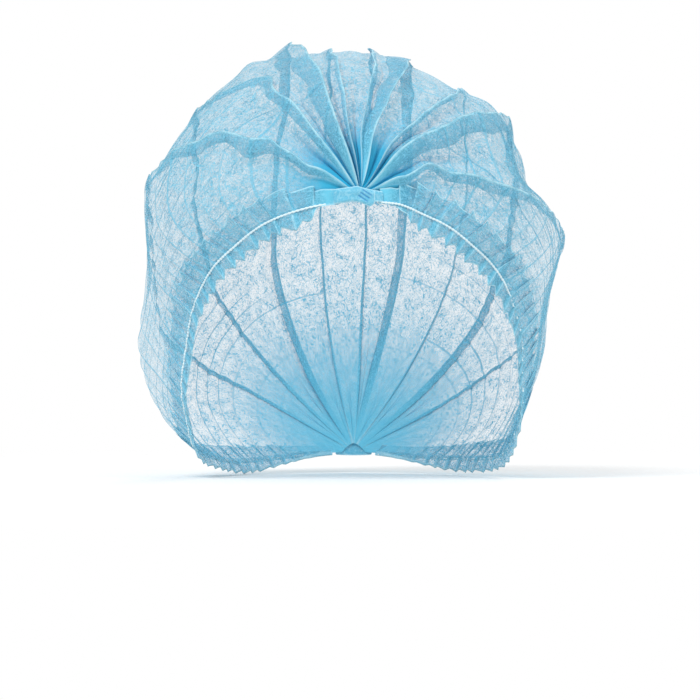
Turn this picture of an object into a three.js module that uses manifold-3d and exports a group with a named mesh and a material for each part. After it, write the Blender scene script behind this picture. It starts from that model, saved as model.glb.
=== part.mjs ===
// Disposable hairnet of pleated nonwoven cloth, in the opened form that it has in use.
//
// One sheet of thin spunbond cloth is folded into lengthwise pleats, and both ends of the pleat stack
// are welded shut, one at the front and one at the rear. Opened out, the pleats fan from the front
// weld, run over the crown and close up again at the rear weld. Each long edge of the sheet is turned
// over as a hem, and an elastic thread gathers it into a frill round the opening.
//
// Millimetres. +X is to the right as seen from the front, the front faces -Y, and +Z is up. The origin
// is the seat, a point in the middle of the hollow.

import * as THREE from "three";
import { mergeVertices } from "three/addons/utils/BufferGeometryUtils.js";
import Module from "manifold-3d";

const wasm = await Module();
wasm.setup();

// Driving dimensions
const WALL = 1.0; // thickness of each cloth wall
const GAP = 0.35; // clearance between neighbouring pieces
const BELT_DEG = 90; // section angle of the widest place, counted from the top of the section
const HEM_DEG = 135; // section angle of the elastic line
const HEM_RISE = 12; // width of the turned-over hem above the elastic
const HEM_RISE_AT_WELD = 3.6;
const HEM_WAVES = 40; // gathers in each hem
const HEM_WAVE = 1.1; // how far a gather lifts the hem's upper edge
const HEM_STARTS = 0.024; // the hems stop this share of the sheet behind the middle of the front weld
const HEM_ENDS = 0.987; // and here, in front of the rear weld
const HEM_LINE_SAMPLES = 200;
const FRILL_DROP = 6; // width of the frill below the elastic
const FRILL_DROP_AT_WELD = 2;
const FRILL_WAVE = 2.6; // how far a gather lifts the frill's edge
const FRILL_TUCK = 0.45; // share of the cloth's inward slope that the frill keeps past the elastic
const FRILL_GROWS_OVER = 0.12; // share of the sheet over which hem and frill reach their full width
const SEAM_HALF = 1.1; // half width of the strip that is pressed flat along the elastic
const ELASTIC_DIAMETER = 1.2;
const ELASTIC_STEPS = 60;
const ELASTIC_SIDES = 8;
const WELD_OFFSET_X = 4.6; // the front weld sits a little to one side of the middle
const WELD_OFFSET_FADES = 0.16; // share of the sheet over which that offset fades out
const CROWN_OFFSET_X = -4.5; // the top of the crown leans a little to the other side
const CROWN_ROWS = 32;
const PANEL_STEP_DEG = 13; // widest facet across the smooth cloth between two folds
const WELD = { width: 17, height: 7.5, thickness: 1.6, corner: 1.8, corner_steps: 4 };
const WELD_FLAP = { drop: 2.6, half_width: 2.4, x: 2.4 }; // corner of cloth that hangs below the front weld
const WELD_GROOVES = { count: 3, length: 7, width: 0.7, depth: 0.5, pitch: 1.9, turn_deg: -32 };
const WELD_SITS_AT = 0.3; // share of the way from hem to top of the end section, to a weld's middle
const WELD_LEANS_TO = 0.04; // a weld leans towards the top of the section this share further in
const WELD_COVERS = 0.05; // share of the sheet that can lie under a weld
const WELD_SAMPLES = 24;
const WELD_MARGIN = 0.8; // the cloth is looked at this far round a weld too, for its clearance
const CLOTH_BLUE = 0x7cc8e8;
const ELASTIC_WHITE = 0xf2f7f8;

const namedRows = (columns, rows) =>
  rows.map((row) => Object.fromEntries(columns.map((column, i) => [column, row[i]])));

// Sections across the cap, from the front weld at 0 to the rear weld at 1. Each is an arch from hem to
// hem: hem_x, hem_y and hem_z place the elastic, top_y and top_z the top of the arch, and half_width is
// its widest reach, which lies at the belt, a share of the way from hem to top on either side.
const SECTION_COLUMNS = [
  "at", "hem_x", "hem_y", "hem_z", "top_y", "top_z", "half_width", "belt_left", "belt_right",
];
const SECTIONS = namedRows(SECTION_COLUMNS, [
  [0.0, 5.0, -86.0, 62.0, -86.5, 70.0, 5.5, 0.5, 0.5],
  [0.06, 16.0, -84.5, 60.8, -84.0, 86.0, 17.5, 0.4, 0.4],
  [0.13, 27.5, -81.0, 57.3, -77.0, 101.0, 35.0, 0.36, 0.36],
  [0.2, 39.0, -75.5, 52.3, -65.0, 113.5, 54.0, 0.32, 0.32],
  [0.27, 49.5, -68.0, 44.5, -49.0, 122.0, 70.0, 0.27, 0.27],
  [0.34, 58.5, -59.5, 36.0, -30.0, 127.0, 81.0, 0.25, 0.25],
  [0.42, 65.5, -49.0, 24.5, -8.0, 129.0, 87.0, 0.26, 0.26],
  [0.5, 70.0, -37.0, 10.0, 15.0, 128.5, 89.0, 0.28, 0.3],
  [0.58, 72.5, -24.0, -9.0, 39.0, 123.5, 90.0, 0.28, 0.36],
  [0.66, 72.5, -10.0, -27.0, 63.0, 112.5, 90.0, 0.25, 0.39],
  [0.74, 69.0, 7.0, -42.0, 84.5, 93.5, 88.0, 0.22, 0.41],
  [0.82, 60.0, 34.0, -48.0, 100.0, 64.0, 80.0, 0.26, 0.43],
  [0.9, 43.0, 63.0, -49.0, 106.0, 26.0, 61.0, 0.38, 0.45],
  [0.96, 21.0, 83.0, -48.0, 101.5, -11.0, 32.0, 0.46, 0.46],
  [1.0, 5.0, 91.5, -47.0, 93.5, -38.0, 6.5, 0.5, 0.5],
]);

// Folds of the pleats, from the left hem to the right one. Each runs from weld to weld. The degrees are
// section angles: where it leaves the front weld, where it is halfway up the fan, where it crosses the
// crown and where it reaches the rear weld. height is how far the fold stands proud on the crown, and
// foot_deg its half width.
const FOLD_COLUMNS = ["fan_deg", "mid_deg", "crown_deg", "rear_deg", "height", "foot_deg"];
const FOLDS = namedRows(FOLD_COLUMNS, [
  [-84, -67, -72, -78, 3.5, 7.0],
  [-60, -37, -47, -54, 3.0, 4.5],
  [-28, -11, -14, -30, 7.0, 4.5],
  [-4, 0.5, -3.5, -12, 3.0, 4.0],
  [5, 12, 7.0, 4, 3.0, 4.0],
  [20, 26, 20.5, 20, 4.0, 4.5],
  [46, 43.5, 39, 40, 3.0, 4.5],
  [60, 54.5, 51, 58, 4.5, 5.0],
  [84, 80, 84, 82, 4.0, 7.0],
]);
const FAN_MIDDLE = 0.15; // place along the sheet where a fold has its middle angle
const FAN_ENDS = 0.42; // and where it has reached its crown angle
const REAR_FAN_STARTS = 0.6;
const FOLD_GROWS_OVER = 0.3;
const FOLD_LEFT_AT_REAR = 0.45; // share of a fold's height that is left near the rear weld
const FOLD_CREST_POWER = 1.4; // above 1, the flanks of a fold are hollow and its crest is sharp

// Broad bulges and dents of the cloth: where each lies, its height, and how far it spreads along and
// across.
const SWELL_COLUMNS = ["at", "deg", "height", "along", "across_deg"];
const SWELLS = namedRows(SWELL_COLUMNS, [
  [0.46, -26, 4.5, 0.1, 6],
  [0.44, -57, -2.0, 0.14, 11],
  [0.42, -90, 1.5, 0.12, 14],
  [0.7, -100, 3.0, 0.08, 14],
  [0.45, 70, -9.5, 0.12, 10],
  [0.7, 102, -2.0, 0.08, 14],
]);

const { degToRad, lerp, smoothstep } = THREE.MathUtils;
const steps = (count, from = 0, to = 1) =>
  Array.from({ length: count + 1 }, (_, i) => lerp(from, to, i / count));

// A smooth curve through one column of the sections (cubic, with slopes from the neighbouring rows).
function sectionValue(column, s) {
  const last = SECTIONS.length - 1;
  const slope = (k) => {
    const before = SECTIONS[Math.max(k - 1, 0)];
    const after = SECTIONS[Math.min(k + 1, last)];
    return (after[column] - before[column]) / (after.at - before.at);
  };
  const next = SECTIONS.findIndex((row) => row.at > s);
  const i = next < 0 ? last - 1 : Math.max(next - 1, 0);
  const [a, b] = [SECTIONS[i], SECTIONS[i + 1]];
  const span = b.at - a.at;
  const t = (s - a.at) / span;
  const leaving = (t ** 3 - 2 * t ** 2 + t) * span * slope(i);
  const arriving = (t ** 3 - t ** 2) * span * slope(i + 1);
  return lerp(a[column], b[column], 3 * t ** 2 - 2 * t ** 3) + leaving + arriving;
}

function sectionAt(s) {
  return Object.fromEntries(SECTION_COLUMNS.map((column) => [column, sectionValue(column, s)]));
}

// A point of the smooth dome: a half ellipse above the belt, a parabola that closes in below it to the
// elastic, and a straight and less steep stretch past the elastic for the frill.
function domePoint(s, deg) {
  const row = sectionAt(s);
  const bottom = new THREE.Vector3(0, row.hem_y, row.hem_z);
  const up = new THREE.Vector3(0, row.top_y, row.top_z).sub(bottom);
  const belt = deg < 0 ? row.belt_left : row.belt_right;
  const angle = Math.abs(deg);
  const over = Math.max(0, Math.cos(degToRad(angle)));
  let reach = row.half_width * Math.sin(degToRad(angle));
  let rise = belt + (1 - belt) * over;
  if (angle > BELT_DEG) {
    const below = (angle - BELT_DEG) / (HEM_DEG - BELT_DEG);
    const closed = below < 1 ? below ** 2 : 1 + 2 * FRILL_TUCK * (below - 1);
    reach = lerp(row.half_width, row.hem_x, closed);
    rise = belt * (1 - below);
  }
  const lean = CROWN_OFFSET_X * Math.sin(Math.PI * s) * over;
  const offset = WELD_OFFSET_X * (1 - smoothstep(s, 0, WELD_OFFSET_FADES));
  bottom.x = Math.sign(deg) * reach + lean + offset;
  return bottom.addScaledVector(up, rise);
}

const NUDGE_S = 0.002;
const NUDGE_DEG = 0.2;

function domeNormal(s, deg) {
  const along = domePoint(Math.min(s + NUDGE_S, 1), deg).sub(domePoint(Math.max(s - NUDGE_S, 0), deg));
  const across = domePoint(s, deg + NUDGE_DEG).sub(domePoint(s, deg - NUDGE_DEG));
  return across.cross(along).normalize();
}

// A point at a height above the smooth dome.
function above(s, deg, height) {
  return domePoint(s, deg).addScaledVector(domeNormal(s, deg), height);
}

function foldDeg(fold, s) {
  const opening = lerp(fold.fan_deg, fold.mid_deg, smoothstep(s, 0, FAN_MIDDLE));
  const towardsCrown = lerp(opening, fold.crown_deg, smoothstep(s, FAN_MIDDLE, FAN_ENDS));
  return lerp(towardsCrown, fold.rear_deg, smoothstep(s, REAR_FAN_STARTS, 1));
}

// How far the cloth stands out from the smooth dome: a sharp crest along each fold, and the broad
// swells.
function clothHeight(s, deg) {
  const kept = lerp(1, FOLD_LEFT_AT_REAR, smoothstep(s, REAR_FAN_STARTS, 1));
  const grown = smoothstep(s, 0, FOLD_GROWS_OVER) * kept;
  const crest = (fold) => {
    const inside = Math.max(0, 1 - Math.abs(deg - foldDeg(fold, s)) / fold.foot_deg);
    return fold.height * grown * inside ** FOLD_CREST_POWER;
  };
  const swell = (row) => {
    const distance = ((s - row.at) / row.along) ** 2 + ((deg - row.deg) / row.across_deg) ** 2;
    return row.height * Math.exp(-distance);
  };
  const sum = (rows, heightOf) => rows.reduce((total, row) => total + heightOf(row), 0);
  return sum(FOLDS, crest) + sum(SWELLS, swell);
}

// A closed wall between two grids of points, grid[row][column], with the rim closed all round.
function wallGeometry(outer, inner) {
  const rows = outer.length;
  const columns = outer[0].length;
  const positions = [...outer.flat(), ...inner.flat()].flatMap((p) => p.toArray());
  const index = [];
  const front = (r, c) => r * columns + c;
  const back = (r, c) => rows * columns + front(r, c);
  const quad = (a, b, c, d) => index.push(a, b, c, a, c, d);
  const [endRow, endColumn] = [rows - 1, columns - 1];
  for (let r = 0; r < endRow; r++) {
    for (let c = 0; c < endColumn; c++) {
      quad(front(r, c), front(r, c + 1), front(r + 1, c + 1), front(r + 1, c));
      quad(back(r, c), back(r + 1, c), back(r + 1, c + 1), back(r, c + 1));
    }
    quad(front(r, 0), front(r + 1, 0), back(r + 1, 0), back(r, 0));
    quad(front(r, endColumn), back(r, endColumn), back(r + 1, endColumn), front(r + 1, endColumn));
  }
  for (let c = 0; c < endColumn; c++) {
    quad(front(0, c), back(0, c), back(0, c + 1), front(0, c + 1));
    quad(front(endRow, c), front(endRow, c + 1), back(endRow, c + 1), back(endRow, c));
  }
  const geometry = new THREE.BufferGeometry();
  geometry.setAttribute("position", new THREE.Float32BufferAttribute(positions, 3));
  geometry.setIndex(index);
  geometry.computeVertexNormals();
  return geometry;
}

// Section angles of the crown's columns at one place: foot, crest and foot of each fold, and even steps
// between.
function crownAngles(s) {
  const knots = (angleOf) => [
    -HEM_DEG,
    ...FOLDS.flatMap((fold) => [-1, 0, 1].map((side) => angleOf(fold) + side * fold.foot_deg)),
    HEM_DEG,
  ];
  const spacing = knots((fold) => fold.crown_deg);
  const here = knots((fold) => foldDeg(fold, s));
  return here.flatMap((deg, i) => {
    if (i === here.length - 1) return [deg];
    const count = Math.max(1, Math.ceil((spacing[i + 1] - spacing[i]) / PANEL_STEP_DEG));
    return steps(count, deg, here[i + 1]).slice(0, count);
  });
}

// The pleated sheet from weld to weld, ending at the elastic on both sides. Its rows lie closer near
// the welds.
function crownGeometry() {
  const places = steps(CROWN_ROWS).map((t) => t - Math.sin(2 * Math.PI * t) / (4 * Math.PI));
  const grid = (depth) =>
    places.map((s) => crownAngles(s).map((deg) => above(s, deg, clothHeight(s, deg) - depth)));
  return wallGeometry(grid(0), grid(WALL));
}

// The section angle that lies a given distance up from the elastic, measured along the cloth.
function hemAngle(s, rise) {
  const perDegree = domePoint(s, HEM_DEG).distanceTo(domePoint(s, HEM_DEG - Math.sign(rise)));
  return HEM_DEG - rise / perDegree;
}

// Places along the hem at even distances along the elastic line.
function hemPlaces(count) {
  const points = steps(HEM_LINE_SAMPLES, HEM_STARTS, HEM_ENDS).map((s) => domePoint(s, HEM_DEG));
  const line = new THREE.CatmullRomCurve3(points);
  return steps(count).map((u) => lerp(HEM_STARTS, HEM_ENDS, line.getUtoTmapping(u)));
}

// The turned-over edge of the sheet: flat along the elastic, and gathered into waves above and below
// it.
function hemGeometry(side) {
  const grid = (depth) =>
    hemPlaces(2 * HEM_WAVES).map((s, i) => {
      const grown = smoothstep(Math.min(s - HEM_STARTS, HEM_ENDS - s), 0, FRILL_GROWS_OVER);
      const gathered = grown * (i % 2);
      const strips = [
        [lerp(HEM_RISE_AT_WELD, HEM_RISE, grown), HEM_WAVE * gathered],
        [SEAM_HALF, 0],
        [-SEAM_HALF, 0],
        [-lerp(FRILL_DROP_AT_WELD, FRILL_DROP, grown), FRILL_WAVE * gathered],
      ];
      return strips.map(([rise, lift]) => above(s, side * hemAngle(s, rise), GAP + WALL - depth + lift));
    });
  const [outer, inner] = [grid(0), grid(WALL)];
  return side > 0 ? wallGeometry(outer, inner) : wallGeometry(inner, outer);
}

// The elastic thread, laid along the flat strip of its hem.
function elasticGeometry(side) {
  const radius = ELASTIC_DIAMETER / 2;
  const line = hemPlaces(ELASTIC_STEPS).map((s) => above(s, side * HEM_DEG, GAP + WALL + GAP + radius));
  const round = new THREE.Shape().absarc(0, 0, radius, 0, 2 * Math.PI);
  return new THREE.ExtrudeGeometry(round, {
    steps: ELASTIC_STEPS,
    curveSegments: ELASTIC_SIDES / 2, // a full circle gets two points for each
    extrudePath: new THREE.CatmullRomCurve3(line),
    bevelEnabled: false,
  });
}

function solidOf(geometry) {
  const bare = geometry.clone();
  bare.deleteAttribute("normal");
  bare.deleteAttribute("uv");
  const merged = mergeVertices(bare);
  const vertProperties = merged.attributes.position.array;
  const triVerts = new Uint32Array(merged.index.array);
  return new wasm.Manifold(new wasm.Mesh({ numProp: 3, vertProperties, triVerts }));
}

function geometryOf(solid) {
  const { vertProperties, triVerts } = solid.getMesh();
  const geometry = new THREE.BufferGeometry();
  geometry.setAttribute("position", new THREE.BufferAttribute(vertProperties, 3));
  geometry.setIndex(new THREE.BufferAttribute(triVerts, 1));
  geometry.computeVertexNormals();
  return geometry;
}

// A pressed tab that shuts one end of the pleat stack, with the slanting grooves of the welding tool in
// its face. Its outline is a rounded rectangle, and the front one has a small flap of cloth at its
// lower edge.
function weldGeometry(flap) {
  const { width, height, thickness, corner, corner_steps } = WELD;
  const [right, top] = [width / 2, height / 2];
  const outline = new THREE.Shape().moveTo(-right + corner, -top);
  if (flap) {
    outline.lineTo(flap.x - flap.half_width, -top);
    outline.lineTo(flap.x, -top - flap.drop);
    outline.lineTo(flap.x + flap.half_width, -top);
  }
  outline
    .lineTo(right - corner, -top)
    .quadraticCurveTo(right, -top, right, -top + corner)
    .lineTo(right, top - corner)
    .quadraticCurveTo(right, top, right - corner, top)
    .lineTo(-right + corner, top)
    .quadraticCurveTo(-right, top, -right, top - corner)
    .lineTo(-right, -top + corner)
    .quadraticCurveTo(-right, -top, -right + corner, -top);
  const pressed = { depth: thickness, bevelEnabled: false, curveSegments: corner_steps };
  let solid = solidOf(new THREE.ExtrudeGeometry(outline, pressed));
  for (let i = 0; i < WELD_GROOVES.count; i++) {
    const groove = new THREE.BoxGeometry(WELD_GROOVES.length, WELD_GROOVES.width, 2 * WELD_GROOVES.depth);
    groove.translate(0, (i - (WELD_GROOVES.count - 1) / 2) * WELD_GROOVES.pitch, 0);
    groove.rotateZ(degToRad(WELD_GROOVES.turn_deg));
    groove.translate(0, 0, thickness);
    solid = solid.subtract(solidOf(groove));
  }
  return geometryOf(solid);
}

function cloth(name, geometry) {
  const material = new THREE.MeshStandardMaterial({ color: CLOTH_BLUE, roughness: 0.85, metalness: 0 });
  return Object.assign(new THREE.Mesh(geometry, material), { name });
}

function elastic(name, geometry) {
  const material = new THREE.MeshStandardMaterial({ color: ELASTIC_WHITE, roughness: 0.6, metalness: 0 });
  return Object.assign(new THREE.Mesh(geometry, material), { name });
}

// A weld lies flat against the end of the pleat stack, just outside the cap, and leans as the cloth
// does there.
function placedWeld(name, end, facing, flap) {
  const middle = domePoint(end, 0);
  const foot = middle.clone();
  [foot.y, foot.z] = [sectionAt(end).hem_y, sectionAt(end).hem_z];
  const further = sectionAt(end - facing * WELD_LEANS_TO);
  const across = new THREE.Vector3(-facing, 0, 0);
  const up = new THREE.Vector3(foot.x, further.top_y, further.top_z).sub(foot).normalize();
  const outward = across.clone().cross(up);
  middle.lerpVectors(foot, middle, WELD_SITS_AT);
  const [underWidth, underHeight] = [WELD.width / 2 + WELD_MARGIN, WELD.height / 2 + WELD_MARGIN];
  const reaches = steps(WELD_SAMPLES, end, end - facing * WELD_COVERS).flatMap((s) =>
    crownAngles(s)
      .map((deg) => above(s, deg, clothHeight(s, deg)).sub(middle))
      .filter((p) => Math.abs(p.dot(across)) < underWidth && Math.abs(p.dot(up)) < underHeight)
      .map((p) => p.dot(outward)),
  );
  const mesh = cloth(name, weldGeometry(flap));
  mesh.quaternion.setFromRotationMatrix(new THREE.Matrix4().makeBasis(across, up, outward));
  mesh.position.copy(middle).addScaledVector(outward, Math.max(...reaches) + GAP);
  return mesh;
}

const hairnet = new THREE.Group();
hairnet.name = "hairnet";
hairnet.add(cloth("crown", crownGeometry()));
for (const [label, side] of [["left", -1], ["right", 1]]) {
  hairnet.add(cloth(`hem_${label}`, hemGeometry(side)));
  hairnet.add(elastic(`elastic_${label}`, elasticGeometry(side)));
}
hairnet.add(placedWeld("weld_front", 0, -1, WELD_FLAP));
hairnet.add(placedWeld("weld_rear", 1, 1, null));

export default hairnet;
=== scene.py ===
"""A disposable hairnet of pleated spunbond cloth, in the opened form that it has in use.

One sheet of thin blue cloth is folded into lengthwise pleats and welded shut at both ends. Opened out,
the pleats fan from the front weld, run over the crown and close up again at the rear weld. The long
edges are turned over as hems, and an elastic thread gathers each of them into a frill.
"""

import bpy
import numpy as np
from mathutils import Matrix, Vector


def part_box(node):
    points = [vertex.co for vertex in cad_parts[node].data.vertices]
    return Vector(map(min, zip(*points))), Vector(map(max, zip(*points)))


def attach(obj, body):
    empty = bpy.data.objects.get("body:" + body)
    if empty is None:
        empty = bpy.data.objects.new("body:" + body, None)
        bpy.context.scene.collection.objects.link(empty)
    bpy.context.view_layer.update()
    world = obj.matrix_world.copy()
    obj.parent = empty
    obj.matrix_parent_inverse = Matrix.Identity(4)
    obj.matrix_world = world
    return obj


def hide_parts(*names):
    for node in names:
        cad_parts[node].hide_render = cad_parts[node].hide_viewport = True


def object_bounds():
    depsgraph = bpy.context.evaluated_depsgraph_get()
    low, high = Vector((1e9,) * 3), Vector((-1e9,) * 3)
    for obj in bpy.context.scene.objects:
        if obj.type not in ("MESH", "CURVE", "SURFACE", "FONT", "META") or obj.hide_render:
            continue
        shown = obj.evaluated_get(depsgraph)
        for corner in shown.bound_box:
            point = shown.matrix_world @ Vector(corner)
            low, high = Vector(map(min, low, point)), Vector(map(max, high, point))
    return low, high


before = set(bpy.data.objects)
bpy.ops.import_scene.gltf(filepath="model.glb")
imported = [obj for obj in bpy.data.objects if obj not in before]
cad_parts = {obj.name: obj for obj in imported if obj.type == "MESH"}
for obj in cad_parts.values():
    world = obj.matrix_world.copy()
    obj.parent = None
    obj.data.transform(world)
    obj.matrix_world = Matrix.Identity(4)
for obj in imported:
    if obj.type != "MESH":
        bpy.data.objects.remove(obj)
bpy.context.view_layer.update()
scene = bpy.context.scene

# Viewpoint. The camera looks level along +Y at the front weld from well off, and its field is as wide as
# the picture at the front of the cap.
FIELD_WIDTH = 0.294
FIELD_AT_Y = -0.078
CAMERA_DISTANCE = 1.8
CAMERA_X = -0.00168
SENSOR_WIDTH = 36
camera_data = bpy.data.cameras.new("camera")
camera_data.sensor_width = SENSOR_WIDTH
camera_data.lens = SENSOR_WIDTH * CAMERA_DISTANCE / FIELD_WIDTH
camera = bpy.data.objects.new("camera", camera_data)
camera.location = (CAMERA_X, FIELD_AT_Y - CAMERA_DISTANCE, 0)
camera.rotation_euler = (np.pi / 2, 0, 0)
scene.collection.objects.link(camera)
scene.camera = camera

# The crown. One sheet of blue spunbond polypropylene, so thin that one layer shows what is behind it.
# Its pleats are knife folds: each runs out to a crest, back under itself and out again, so the cloth lies
# three layers deep beside every crest. The gathered hems send sharp creases up into the side panels.
MM = 0.001
HEM_DEG = 135  # section angle of the elastic line, counted from the top of a section
BELT_DEG = 90  # section angle of the widest place
FRILL_TUCK = 0.45  # share of the cloth's inward slope that is kept past the elastic
WELD_OFFSET_X = 4.6  # millimetres by which the front weld lies right of the middle
CROWN_OFFSET_X = -4.5  # and by which the top of the crown leans left
WELD_OFFSET_FADES = 0.16  # place along the sheet where the weld's offset has faded out

# Sections across the cap in millimetres, from the front weld at 0 to the rear weld at 1. Each is an arch
# from hem to hem: the elastic's place, the top of the arch, its widest reach, and how high that lies on
# either side as a share of the way from hem to top.
SECTION_COLUMNS = "at hem_x hem_y hem_z top_y top_z half_width belt_left belt_right".split()
SECTIONS = np.array([
    [0.00, 5.0, -86.0, 62.0, -86.5, 70.0, 5.5, 0.50, 0.50],
    [0.06, 16.0, -84.5, 60.8, -84.0, 86.0, 17.5, 0.40, 0.40],
    [0.13, 27.5, -81.0, 57.3, -77.0, 101.0, 35.0, 0.36, 0.36],
    [0.20, 39.0, -75.5, 52.3, -65.0, 113.5, 54.0, 0.32, 0.32],
    [0.27, 49.5, -68.0, 44.5, -49.0, 122.0, 70.0, 0.27, 0.27],
    [0.34, 58.5, -59.5, 36.0, -30.0, 127.0, 81.0, 0.25, 0.25],
    [0.42, 65.5, -49.0, 24.5, -8.0, 129.0, 87.0, 0.26, 0.26],
    [0.50, 70.0, -37.0, 10.0, 15.0, 128.5, 89.0, 0.28, 0.30],
    [0.58, 72.5, -24.0, -9.0, 39.0, 123.5, 90.0, 0.28, 0.36],
    [0.66, 72.5, -10.0, -27.0, 63.0, 112.5, 90.0, 0.25, 0.39],
    [0.74, 69.0, 7.0, -42.0, 84.5, 93.5, 88.0, 0.22, 0.41],
    [0.82, 60.0, 34.0, -48.0, 100.0, 64.0, 80.0, 0.26, 0.43],
    [0.90, 43.0, 63.0, -49.0, 106.0, 26.0, 61.0, 0.38, 0.45],
    [0.96, 21.0, 83.0, -48.0, 101.5, -11.0, 32.0, 0.46, 0.46],
    [1.00, 5.0, 91.5, -47.0, 93.5, -38.0, 6.5, 0.50, 0.50],
])

# Folds from the left hem to the right one. The degrees are section angles where a fold leaves the front
# weld, halfway up the fan, on the crown and at the rear weld. The heights and the tuck are millimetres: how
# far the crest stands up in the fan and on the crown, where it is drawn tight, and how far the cloth runs
# back under it. facing is 1 where the crest points to the right and its doubled band lies on the left,
# wobble_deg is how far a slack fold wanders, and ruffle is by what share its band swells and narrows.
FOLD_COLUMNS = (
    "fan_deg mid_deg crown_deg rear_deg fan_height crown_height tuck facing wobble_deg ruffle"
).split()
FOLDS = [dict(zip(FOLD_COLUMNS, row)) for row in [
    [-72, -64, -72, -78, 5.5, 2.0, 7.5, 1, 0.9, 0.22],
    [-43.5, -32, -47, -54, 5.0, 0.8, 6.5, 1, 0.6, 0.15],
    [-20, -11.5, -14.0, -30, 9.0, 7.4, 10.0, 1, 0.4, 0.10],
    [-12, -2.5, -3.5, -12, 4.0, 1.6, 2.6, 1, 0.3, 0.15],
    [-4, 10.5, 7.0, 4, 4.5, 2.2, 3.0, -1, 0.4, 0.12],
    [14, 23.5, 19.5, 20, 5.0, 2.4, 8.5, 1, 0.4, 0.12],
    [33, 43, 35.5, 40, 3.0, 1.3, 2.4, -1, 0.5, 0.20],
    [44, 55.5, 52, 58, 7.0, 3.0, 12.0, -1, 0.5, 0.12],
    [72, 89, 86, 82, 6.0, 2.2, 7.5, -1, 0.7, 0.22],
]]
FAN_MIDDLE, FAN_ENDS = 0.15, 0.42  # places along the sheet where folds have their middle and crown angles
REAR_FAN_STARTS = 0.6
CROWN_STARTS, CROWN_FULL = 0.16, 0.36  # where the cloth begins to be drawn tight, and where it is
FOLD_LEFT_AT_REAR = 0.55  # share of a fold's height and tuck that is left at the rear
NARROWS_FROM, NARROWED_AT = 0.42, 0.8
SLACK_FROM, SLACK_AT = 0.05, 0.16  # distances from a weld where a fold begins to wander and where it is free
WOBBLE_WAVES = [(8, 1.0), (14, 0.3), (25, 0.25)]  # a slack fold's waves from weld to weld, and their sizes

# Where slack folds turn aside or hang in lobes: the fold counted from the left, the place along it, by how
# many degrees it turns, how many millimetres wider its band is, and over what length.
LOBE_COLUMNS = "fold at turn_deg wider length".split()
LOBES = [dict(zip(LOBE_COLUMNS, row)) for row in [
    [0, 0.078, -4.0, 0.0, 0.014],
    [0, 0.138, 4.0, 2.0, 0.015],
    [0, 0.165, 0.0, 5.0, 0.026],
    [1, 0.250, 8.0, 0.0, 0.036],
    [5, 0.340, 0.0, 5.0, 0.090],
    [8, 0.058, 4.0, 0.0, 0.016],
    [8, 0.108, -8.0, -2.5, 0.022],
    [8, 0.210, 2.5, 6.0, 0.030],
    [8, 0.275, 2.0, 0.0, 0.030],
]]

# Broad bulges and dents: where each lies, its height, and how far it spreads along and across.
SWELL_COLUMNS = "at deg height along across_deg".split()
SWELLS = [dict(zip(SWELL_COLUMNS, row)) for row in [
    [0.46, -26, 4.8, 0.10, 5.5],
    [0.46, -61, -2.9, 0.14, 14],
    [0.45, -77, 1.7, 0.10, 7],
    [0.42, -75, 1.5, 0.12, 14],
    [0.58, -91, -2.5, 0.05, 10],
    [0.65, -100, 4.8, 0.07, 13],
    [0.42, 32, -3.5, 0.14, 12],
    [0.48, 64, -10.8, 0.12, 11],
    [0.38, 78, -9.0, 0.09, 8],
    [0.71, 88, -3.5, 0.06, 9],
    [0.64, 106, -6.5, 0.10, 16],
    [0.75, 122, -4.5, 0.07, 11],
]]
SLACK_WAVE = 0.8  # height in millimetres of the slow waves between them
SLACK_WAVE_GROWS = (0.1, 0.3)


def ramp(value, start, end):
    """A smooth step: 0 up to start, 1 from end on, and 3t^2 - 2t^3 between."""
    share = np.clip((value - start) / (end - start), 0, 1)
    return share * share * (3 - 2 * share)


def bell(distance, spread):
    """A bell curve: 1 in the middle, and exp(-(distance / spread)^2) away from it."""
    return np.exp(-((distance / spread) ** 2))


def section(along):
    """Each column of the section table at places along the sheet, by a cubic through its rows whose slope
    at a row is the slope between that row's neighbours."""
    at = SECTIONS[:, 0]
    last = len(at) - 1
    before = np.maximum(np.arange(last + 1) - 1, 0)
    after = np.minimum(np.arange(last + 1) + 1, last)
    slopes = (SECTIONS[after] - SECTIONS[before]) / (at[after] - at[before])[:, None]
    i = np.clip(np.searchsorted(at, along, side="right") - 1, 0, last - 1)
    span = (at[i + 1] - at[i])[..., None]
    t = (along - at[i])[..., None] / span
    leaving = (t**3 - 2 * t**2 + t) * span * slopes[i]
    arriving = (t**3 - t**2) * span * slopes[i + 1]
    value = SECTIONS[i] + (SECTIONS[i + 1] - SECTIONS[i]) * (3 * t**2 - 2 * t**3) + leaving + arriving
    return {name: value[..., k] for k, name in enumerate(SECTION_COLUMNS)}


def dome(along, degrees):
    """A point of the smooth dome: a half ellipse above the belt, below it a parabola that closes in to the
    elastic, and past the elastic a straight and less steep stretch for the frill."""
    along, degrees = np.broadcast_arrays(np.asarray(along, float), np.asarray(degrees, float))
    row = section(along)
    angle = np.abs(degrees)
    over = np.maximum(0, np.cos(np.radians(angle)))
    belt = np.where(degrees < 0, row["belt_left"], row["belt_right"])
    below = (angle - BELT_DEG) / (HEM_DEG - BELT_DEG)
    closed = np.where(below < 1, below**2, 1 + 2 * FRILL_TUCK * (below - 1))
    round_reach = row["half_width"] * np.sin(np.radians(angle))
    closing_reach = row["half_width"] + (row["hem_x"] - row["half_width"]) * closed
    reach = np.where(angle > BELT_DEG, closing_reach, round_reach)
    rise = np.where(angle > BELT_DEG, belt * (1 - below), belt + (1 - belt) * over)
    lean = CROWN_OFFSET_X * np.sin(np.pi * along) * over
    offset = WELD_OFFSET_X * (1 - ramp(along, 0, WELD_OFFSET_FADES))
    x = np.sign(degrees) * reach + lean + offset
    y = row["hem_y"] + (row["top_y"] - row["hem_y"]) * rise
    z = row["hem_z"] + (row["top_z"] - row["hem_z"]) * rise
    return np.stack([x, y, z], -1)


NUDGE_ALONG = 0.002
NUDGE_DEG = 0.2


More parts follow.
